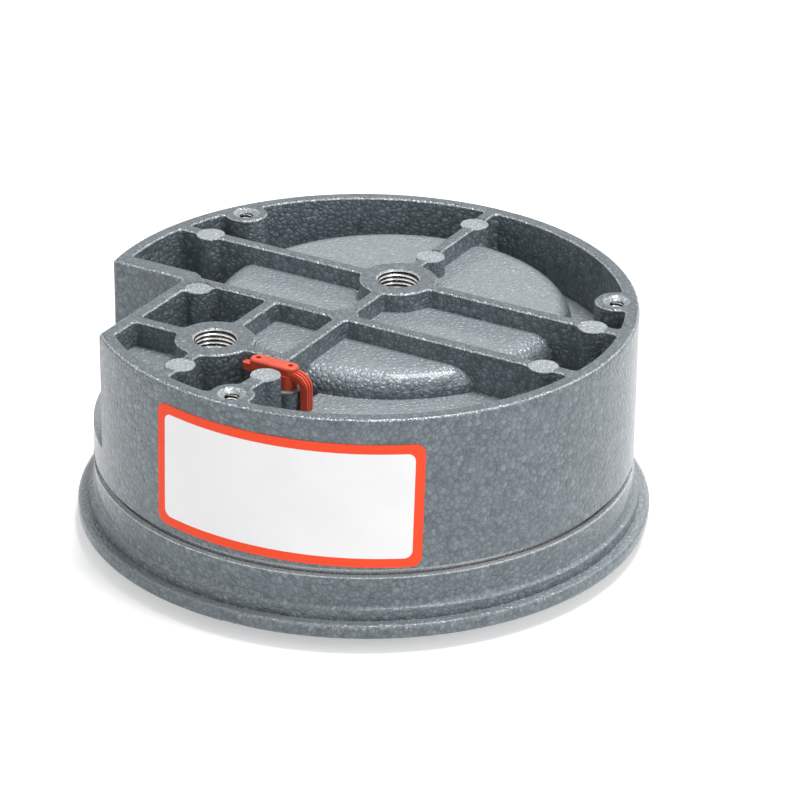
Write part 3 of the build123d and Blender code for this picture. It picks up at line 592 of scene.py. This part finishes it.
class GaugeLabelSettings(bpy.types.PropertyGroup):
    """Place and size of the bare label on the wall."""

    label_width: FloatProperty(
        name="Label width", description="Length of the label round the wall",
        default=57.95 * MM, min=10 * MM, max=120 * MM, unit="LENGTH", precision=4,
    )
    label_height: FloatProperty(
        name="Label height", description="Height of the label",
        default=27.1 * MM, min=5 * MM, max=30 * MM, unit="LENGTH", precision=4,
    )
    label_border: FloatProperty(
        name="Border", description="Width of the label's coloured border",
        default=2.0 * MM, min=0.2 * MM, max=5 * MM, unit="LENGTH", precision=5,
    )
    label_corner: FloatProperty(
        name="Corner", description="Radius of the label's corners",
        default=2.2 * MM, min=0.2 * MM, max=6 * MM, unit="LENGTH", precision=5,
    )
    label_angle: FloatProperty(
        name="Label place", description="Angle of the label's middle round the case, in degrees",
        default=-77.1, min=-180.0, max=180.0,
    )
    label_level: FloatProperty(
        name="Label level", description="Height of the label's middle",
        default=31.5 * MM, min=20 * MM, max=40 * MM, unit="LENGTH", precision=4,
    )
    label_tilt: FloatProperty(
        name="Label tilt", description="Turn of the label on the wall, in degrees",
        default=-1.3, min=-20.0, max=20.0,
    )
    border_colour: FloatVectorProperty(
        name="Border colour", description="Colour of the label's border",
        subtype="COLOR", size=3, min=0.0, max=1.0, default=(1.0, 0.085, 0.030),
    )


class GaugeDialSettings(bpy.types.PropertyGroup):
    """Print on the dial."""

    divisions: IntProperty(
        name="Divisions", description="Small divisions on the scale", default=50, min=10, max=100,
    )
    numbered: IntProperty(
        name="Numbered steps", description="Numbered steps on the scale", default=5, min=2, max=10,
    )
    step_value: IntProperty(
        name="Step value", description="Value between two numbers", default=10, min=1, max=100,
    )
    scale_radius: FloatProperty(
        name="Scale radius", description="Radius of the scale about the pointer's pivot",
        default=49.0 * MM, min=20 * MM, max=60 * MM, unit="LENGTH", precision=4,
    )
    number_height: FloatProperty(
        name="Number height", description="Height of the dial's numbers",
        default=6.0 * MM, min=2 * MM, max=12 * MM, unit="LENGTH", precision=4,
    )


class GaugeStageSettings(bpy.types.PropertyGroup):
    """Camera, lamps and floor."""

    camera_place: FloatVectorProperty(
        name="Camera place", description="Place of the camera", subtype="XYZ", size=3, unit="LENGTH",
        default=(0.34551, -0.59844, 0.36368),
    )
    camera_aim: FloatVectorProperty(
        name="Camera aim", description="Direction that the camera looks along", subtype="DIRECTION",
        size=3, default=(-0.44097, 0.78319, -0.43839),
    )
    camera_roll: FloatProperty(
        name="Camera roll", description="Roll of the camera", subtype="ANGLE", default=0.0116,
    )
    camera_lens: FloatProperty(
        name="Lens", description="Focal length in millimetres on a 36 mm sensor", default=163.9,
    )
    top_power: FloatProperty(
        name="Top lamp", description="Power of the large lamp overhead", unit="POWER", default=7.5,
    )
    side_power: FloatProperty(
        name="Side lamp", description="Power of the lamp on the right", unit="POWER", default=1.7,
    )
    fill_power: FloatProperty(
        name="Fill lamp", description="Power of the lamp on the left", unit="POWER", default=0.6,
    )


class GAUGE_OT_paint_castings(bpy.types.Operator):
    """Paint the cast case and the bezel with hammered paint, machined faces left bare"""

    bl_idname = "gauge.paint_castings"
    bl_label = "Paint the castings"

    def execute(self, context):
        settings = context.scene.gauge_paint
        dress("case", hammered_paint("Hammered paint, case", settings, bare=True))
        dress("bezel", hammered_paint("Hammered paint, bezel", settings, bare=False))
        return {"FINISHED"}


class GAUGE_OT_finish_metals(bpy.types.Operator):
    """Give the screws, plates, spring, bearings and side plugs their metals"""

    bl_idname = "gauge.finish_metals"
    bl_label = "Finish the metal pieces"

    def execute(self, context):
        plated = turned_metal("Plated steel", (0.66, 0.66, 0.64), 0.28)
        sheet = turned_metal("Aluminium sheet", (0.80, 0.81, 0.82), 0.34, 900.0)
        sprung = turned_metal("Spring steel", (0.42, 0.44, 0.47), 0.25, 400.0)
        brass = turned_metal("Turned brass", (0.78, 0.58, 0.25), 0.3)
        sintered = turned_metal("Sintered magnet", (0.12, 0.12, 0.13), 0.5, 300.0)
        groups = (
            (plated, ("dial_screws", "ring_screws", "clamp_screws", "diaphragm_ring", "link_stud",
                      "helix", "pointer_shaft", "wishbone_pivot")),
            (sheet, ("rear_plate", "front_plate", "spring_clamp")),
            (sprung, ("range_spring",)),
            (brass, ("wishbone", "zero_screw", "high_side_plug", "low_side_plug")),
            (sintered, ("magnet",)),
        )
        for material, names in groups:
            for name in names:
                dress(name, material)
        return {"FINISHED"}


class GAUGE_OT_finish_rubber(bpy.types.Operator):
    """Give the relief plug, diaphragm, seals, stops and jewels their finishes"""

    bl_idname = "gauge.finish_rubber"
    bl_label = "Finish the rubber pieces"

    def execute(self, context):
        settings = context.scene.gauge_paint
        dress("relief_plug", soft_rubber("Relief plug rubber", tuple(settings.rubber_colour), 0.42))
        dress("diaphragm", soft_rubber("Diaphragm rubber", (0.42, 0.10, 0.05), 0.6))
        black = soft_rubber("Seal rubber", (0.025, 0.025, 0.027), 0.6)
        for name in ("cover_gasket", "pointer_stops", "zero_seal"):
            dress(name, black)
        dress("jewel_bearings", smooth_paint("Ruby jewel", (0.45, 0.02, 0.06), 0.12, coat=1.0))
        return {"FINISHED"}


class GAUGE_OT_finish_dial(bpy.types.Operator):
    """Finish the window, the dial and the pointer"""

    bl_idname = "gauge.finish_dial"
    bl_label = "Finish dial and window"

    def execute(self, context):
        dress("cover", clear_plastic("Clear window"))
        dress("dial", smooth_paint("Dial white", (0.86, 0.86, 0.84), 0.45))
        dress("pointer", smooth_paint("Pointer black", (0.02, 0.02, 0.022), 0.35))
        return {"FINISHED"}


class GAUGE_OT_print_dial(bpy.types.Operator):
    """Print the scale's arc, divisions and plain numbers on the dial"""

    bl_idname = "gauge.print_dial"
    bl_label = "Print the dial"

    def execute(self, context):
        settings = context.scene.gauge_dial
        ink = smooth_paint("Dial ink", (0.012, 0.012, 0.014), 0.5)
        level = DIAL_FACE - PRINT_LIFT
        radius = settings.scale_radius
        end = SCALE_START + SCALE_SWEEP
        parts = [arc_strip(radius, 0.35 * MM, SCALE_START, end, level)]
        per_number = settings.divisions // settings.numbered
        for mark in range(settings.divisions + 1):
            angle = SCALE_START + SCALE_SWEEP * mark / settings.divisions
            major = mark % per_number == 0
            middle = mark % per_number == per_number // 2
            length = (4.6 if major else 3.4 if middle else 2.3) * MM
            width = (0.7 if major else 0.3) * MM
            parts.append(tick(radius, radius - length, width, angle, level))
        mesh_piece("dial_scale", *joined(parts), ink, "gauge", "pointer_paint", smooth=False)
        for step in range(settings.numbered + 1):
            angle = SCALE_START + SCALE_SWEEP * step / settings.numbered
            curve = bpy.data.curves.new(f"dial_number_{step}", "FONT")
            curve.body = str(step * settings.step_value)
            curve.size = settings.number_height
            curve.align_x = "CENTER"
            curve.align_y = "CENTER"
            curve.materials.append(ink)
            number = bpy.data.objects.new(f"dial_number_{step}", curve)
            x, y = on_circle(radius + settings.number_height * 0.95, angle, POINTER_PIVOT)
            number.location = (x, y, level)
            number.rotation_euler = (0.0, math.pi, 0.0)
            context.scene.collection.objects.link(number)
            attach(number, "gauge")
        return {"FINISHED"}


class GAUGE_OT_cut_threads(bpy.types.Operator):
    """Cut the threads of both ports and the three mounting holes"""

    bl_idname = "gauge.cut_threads"
    bl_label = "Cut the threads"

    def execute(self, context):
        settings = context.scene.gauge_paint
        wall = PORT_RADIUS - BORE_MARGIN
        crest = PORT_RADIUS - PORT_THREAD_DEPTH
        bright = cut_thread_metal("Cut port thread", (HIGH_PORT, LOW_PORT), wall, crest)
        top = RIM_LEVEL - PORT_MOUTH
        ports = (
            ("high_port_thread", HIGH_PORT, HIGH_PORT_FLOOR),
            ("low_port_thread", LOW_PORT, LOW_PORT_FLOOR),
        )
        for name, centre, low in ports:
            shell = thread_shell(centre, wall, crest, settings.thread_pitch, low + 0.2 * MM, top)
            mesh_piece(name, *shell, bright, "gauge", "aluminium")
        wall = HOLE_RADIUS - BORE_MARGIN
        crest = HOLE_RADIUS - HOLE_THREAD_DEPTH
        small = cut_thread_metal("Cut hole thread", HOLE_CENTRES, wall, crest)
        low = RIM_LEVEL - HOLE_THREAD_LENGTH
        top = RIM_LEVEL - HOLE_DISH - 0.05 * MM
        for index, centre in enumerate(HOLE_CENTRES):
            shell = thread_shell(centre, wall, crest, settings.hole_pitch, low, top)
            mesh_piece(f"mounting_thread_{index}", *shell, small, "gauge", "aluminium")
        return {"FINISHED"}


class GAUGE_OT_stick_label(bpy.types.Operator):
    """Stick the bare bordered label on the case's wall"""

    bl_idname = "gauge.stick_label"
    bl_label = "Stick the label"

    def execute(self, context):
        settings = context.scene.gauge_label
        width = settings.label_width
        height = settings.label_height
        inset = 2 * settings.label_border
        red = smooth_paint("Label border print", tuple(settings.border_colour), 0.45, specular=0.15)
        white = smooth_paint("Label white", (0.93, 0.925, 0.935), 0.4, specular=0.2)
        border = label_sheet(settings, width, height, settings.label_corner, 0.0, LABEL_THICKNESS)
        mesh_piece("label_border", *border, red, "gauge", "red_rubber", smooth=False)
        corner = max(0.3 * MM, settings.label_corner * 0.75)
        face = label_sheet(
            settings, width - inset, height - inset, corner, LABEL_FACE_LOW, LABEL_FACE_HIGH)
        mesh_piece("label_face", *face, white, "gauge", "dial_white", smooth=False)
        return {"FINISHED"}


class GAUGE_OT_set_stage(bpy.types.Operator):
    """Set the floor, the lamps, the white surround and the camera"""

    bl_idname = "gauge.set_stage"
    bl_label = "Set the stage"

    def execute(self, context):
        settings = context.scene.gauge_stage
        context.scene.view_settings.view_transform = "Standard"
        floor_material = self.floor_material()
        mesh = bpy.data.meshes.new("floor")
        edit = bmesh.new()
        bmesh.ops.create_grid(edit, x_segments=1, y_segments=1, size=3.0)
        edit.to_mesh(mesh)
        edit.free()
        floor = bpy.data.objects.new("floor", mesh)
        mesh.materials.append(floor_material)
        floor.location = (0.0, 0.0, -FLOOR_DROP)
        context.scene.collection.objects.link(floor)
        self.white_surround(context)
        self.lamp("top_lamp", (0.12, 0.10, 0.84), 0.30, settings.top_power)
        self.lamp("side_lamp", (0.75, -0.10, 0.35), 0.45, settings.side_power)
        self.lamp("fill_lamp", (-0.45, -0.70, 0.35), 0.45, settings.fill_power)
        self.camera(context, settings)
        return {"FINISHED"}

    def floor_material(self):
        """Pale floor, near white to the camera, with its shadow kept and see-through from below."""
        nodes = Nodes("Pale floor")
        nodes.finish(Base_Color=(0.80, 0.80, 0.80, 1.0), Roughness=0.9, Specular_IOR_Level=0.2)
        glow = nodes.add("ShaderNodeEmission")
        nodes.feed(glow.inputs["Strength"], self.seen_directly(nodes.tree, 0.42))
        both = nodes.add("ShaderNodeAddShader")
        output = nodes.tree.nodes["Material Output"]
        nodes.feed(both.inputs[0], nodes.shader.outputs[0])
        nodes.feed(both.inputs[1], glow.outputs[0])
        path = nodes.add("ShaderNodeLightPath")
        side = nodes.add("ShaderNodeNewGeometry")
        clear = nodes.add("ShaderNodeBsdfTransparent")
        choice = nodes.add("ShaderNodeMixShader")
        below = nodes.math("MULTIPLY", path.outputs["Is Camera Ray"], side.outputs["Backfacing"])
        nodes.feed(choice.inputs[0], below)
        nodes.feed(choice.inputs[1], both.outputs[0])
        nodes.feed(choice.inputs[2], clear.outputs[0])
        nodes.feed(output.inputs["Surface"], choice.outputs[0])
        return nodes.material

    def seen_directly(self, tree, strength):
        """Strength for camera, glossy and transmission rays, and nothing for the rest."""
        path = tree.nodes.new("ShaderNodeLightPath")
        total = path.outputs["Is Camera Ray"]
        for name in ("Is Glossy Ray", "Is Transmission Ray"):
            larger = tree.nodes.new("ShaderNodeMath")
            larger.operation = "MAXIMUM"
            tree.links.new(total, larger.inputs[0])
            tree.links.new(path.outputs[name], larger.inputs[1])
            total = larger.outputs[0]
        scaled = tree.nodes.new("ShaderNodeMath")
        scaled.operation = "MULTIPLY"
        tree.links.new(total, scaled.inputs[0])
        scaled.inputs[1].default_value = strength
        return scaled.outputs[0]

    def white_surround(self, context):
        """World that lights softly and is seen as white."""
        world = bpy.data.worlds.new("surround")
        context.scene.world = world
        world.use_nodes = True
        tree = world.node_tree
        background = tree.nodes["Background"]
        background.inputs["Color"].default_value = (1.0, 1.0, 1.0, 1.0)
        lit = 0.5
        rest = tree.nodes.new("ShaderNodeMath")
        rest.operation = "ADD"
        tree.links.new(self.seen_directly(tree, 1.0 - lit), rest.inputs[0])
        rest.inputs[1].default_value = lit
        tree.links.new(rest.outputs[0], background.inputs["Strength"])

    def lamp(self, name, place, size, power):
        """Square soft lamp aimed at the gauge."""
        light = bpy.data.lights.new(name, "AREA")
        light.shape = "SQUARE"
        light.size = size
        light.energy = power
        piece = bpy.data.objects.new(name, light)
        piece.location = place
        direction = Vector(LAMP_AIM) - Vector(place)
        piece.rotation_euler = direction.to_track_quat("-Z", "Y").to_euler()
        bpy.context.scene.collection.objects.link(piece)

    def camera(self, context, settings):
        """Camera at the photograph's place, angle and lens."""
        data = bpy.data.cameras.new("camera")
        data.sensor_fit = "HORIZONTAL"
        data.sensor_width = 36.0
        data.lens = settings.camera_lens
        data.clip_start = 0.05
        piece = bpy.data.objects.new("camera", data)
        forward = Vector(settings.camera_aim).normalized()
        right = forward.cross(Vector((0.0, 0.0, 1.0))).normalized()
        up = right.cross(forward)
        cosine, sine = math.cos(settings.camera_roll), math.sin(settings.camera_roll)
        side = right * cosine + up * sine
        top = up * cosine - right * sine
        turn = Matrix((side, top, -forward)).transposed().to_4x4()
        piece.matrix_world = Matrix.Translation(Vector(settings.camera_place)) @ turn
        context.scene.collection.objects.link(piece)
        context.scene.camera = piece


class GAUGE_PT_panel(bpy.types.Panel):
    """Settings and steps of the gauge's finish"""

    bl_idname = "GAUGE_PT_panel"
    bl_label = "Pressure gauge"
    bl_space_type = "VIEW_3D"
    bl_region_type = "UI"
    bl_category = "Gauge"

    def draw(self, context):
        for group in (context.scene.gauge_paint, context.scene.gauge_label,
                      context.scene.gauge_dial, context.scene.gauge_stage):
            box = self.layout.box()
            for name in group.__annotations__:
                box.prop(group, name)
        for operator in OPERATORS:
            self.layout.operator(operator.bl_idname)


OPERATORS = (
    GAUGE_OT_paint_castings,
    GAUGE_OT_finish_metals,
    GAUGE_OT_finish_rubber,
    GAUGE_OT_finish_dial,
    GAUGE_OT_print_dial,
    GAUGE_OT_cut_threads,
    GAUGE_OT_stick_label,
    GAUGE_OT_set_stage,
)
SETTINGS = (
    ("gauge_paint", GaugePaintSettings),
    ("gauge_label", GaugeLabelSettings),
    ("gauge_dial", GaugeDialSettings),
    ("gauge_stage", GaugeStageSettings),
)


def register():
    """Registers the settings, the operators and the panel."""
    for name, group in SETTINGS:
        bpy.utils.register_class(group)
        setattr(bpy.types.Scene, name, PointerProperty(type=group))
    for operator in OPERATORS:
        bpy.utils.register_class(operator)
    bpy.utils.register_class(GAUGE_PT_panel)


def unregister():
    """Removes what register added."""
    bpy.utils.unregister_class(GAUGE_PT_panel)
    for operator in reversed(OPERATORS):
        bpy.utils.unregister_class(operator)
    for name, group in reversed(SETTINGS):
        delattr(bpy.types.Scene, name)
        bpy.utils.unregister_class(group)


def main():
    """Registers the add-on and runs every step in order."""
    register()
    bpy.ops.gauge.paint_castings()
    bpy.ops.gauge.finish_metals()
    bpy.ops.gauge.finish_rubber()
    bpy.ops.gauge.finish_dial()
    bpy.ops.gauge.print_dial()
    bpy.ops.gauge.cut_threads()
    bpy.ops.gauge.stick_label()
    bpy.ops.gauge.set_stage()


if __name__ == "__main__":
    main()
